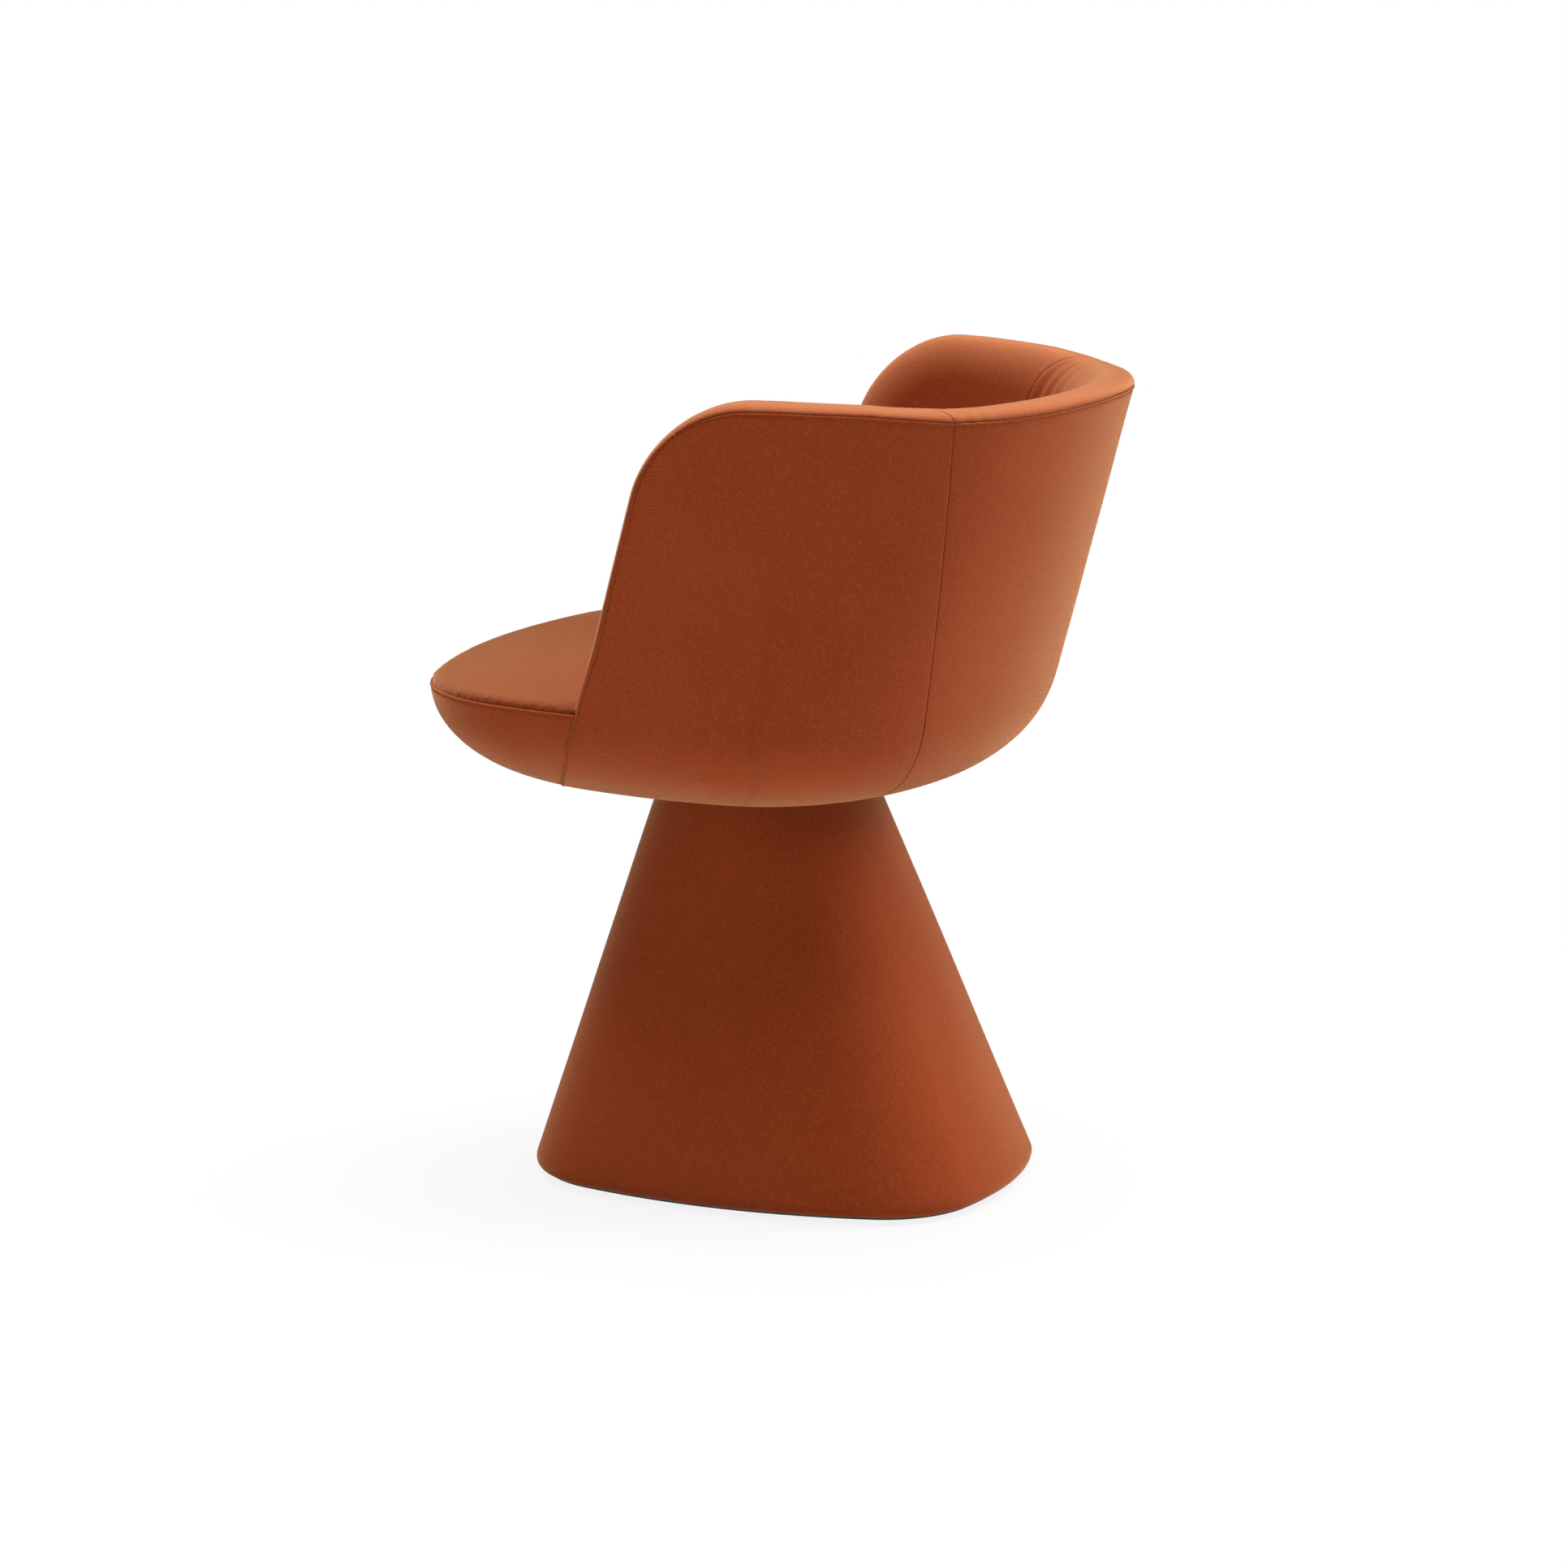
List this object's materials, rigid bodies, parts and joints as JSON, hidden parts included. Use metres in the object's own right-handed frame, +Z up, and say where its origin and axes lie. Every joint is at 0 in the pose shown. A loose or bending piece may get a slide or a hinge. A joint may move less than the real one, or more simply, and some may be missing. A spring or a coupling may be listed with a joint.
{
  "type": "pedestal armchair",
  "caption": "Upholstered tub armchair whose rounded seat and wrap-around low back turn on a tapered, fabric-covered pedestal.",
  "frame": {"origin": "centre of the chair's outer box, on the floor", "axes": "+Z up, the chair faces -Y, +X is the sitter's left"},
  "size_m": [0.574, 0.587, 0.72],
  "materials": {
    "fabric_cover": "felted wool twill",
    "lining": "non-woven lining",
    "foam": "moulded foam",
    "webbing": "elastic webbing",
    "plywood": "birch plywood",
    "black_steel": "matt black powder coat",
    "bright_steel": "ground steel",
    "zinc_fastener": "zinc plated",
    "nylon": "black nylon"
  },
  "bodies": {
    "pedestal": {"floor_glides": "nylon", "base_plate": "black_steel", "base_board": "plywood", "pedestal_shell": "plywood", "shell_screws": "zinc_fastener", "shell_cap": "plywood", "pedestal_wadding": "foam", "pedestal_cover": "fabric_cover", "column_flange": "black_steel", "flange_bolts": "zinc_fastener", "column_tube": "black_steel", "upper_bush": "nylon", "lower_bush": "nylon", "lower_race": "bright_steel"},
    "bearing": {"bearing_cage": "nylon", "bearing_balls": "bright_steel"},
    "seat": {"left_side_panel": "fabric_cover", "right_side_panel": "fabric_cover", "back_panel": "fabric_cover", "front_border": "fabric_cover", "inner_left_panel": "fabric_cover", "inner_back_panel": "fabric_cover", "inner_right_panel": "fabric_cover", "seat_top_cover": "fabric_cover", "underside_cover": "lining", "seat_foam": "foam", "bowl_foam": "foam", "shell_foam": "foam", "seat_webbing": "webbing", "swivel_plate": "black_steel", "seat_ring": "black_steel", "frame_hoop": "black_steel", "frame_uprights": "black_steel", "cross_bars": "black_steel", "spindle": "bright_steel", "upper_race": "bright_steel", "spindle_washer": "bright_steel", "retaining_clip": "bright_steel", "swivel_bolts": "zinc_fastener", "swivel_nuts": "zinc_fastener"}
  },
  "joints": [
    {"name": "seat_swivel", "type": "hinge", "parent": "pedestal", "child": "seat", "pos_m": [0, -0.02, 0.344], "axis": [0, 0, 1], "continuous": true},
    {"name": "cage_roll", "type": "hinge", "parent": "pedestal", "child": "bearing", "pos_m": [0, -0.02, 0.344], "axis": [0, 0, 1], "continuous": true}
  ],
  "couplings": [
    {"joint": "cage_roll", "follows": "seat_swivel", "ratio": 0.5}
  ]
}
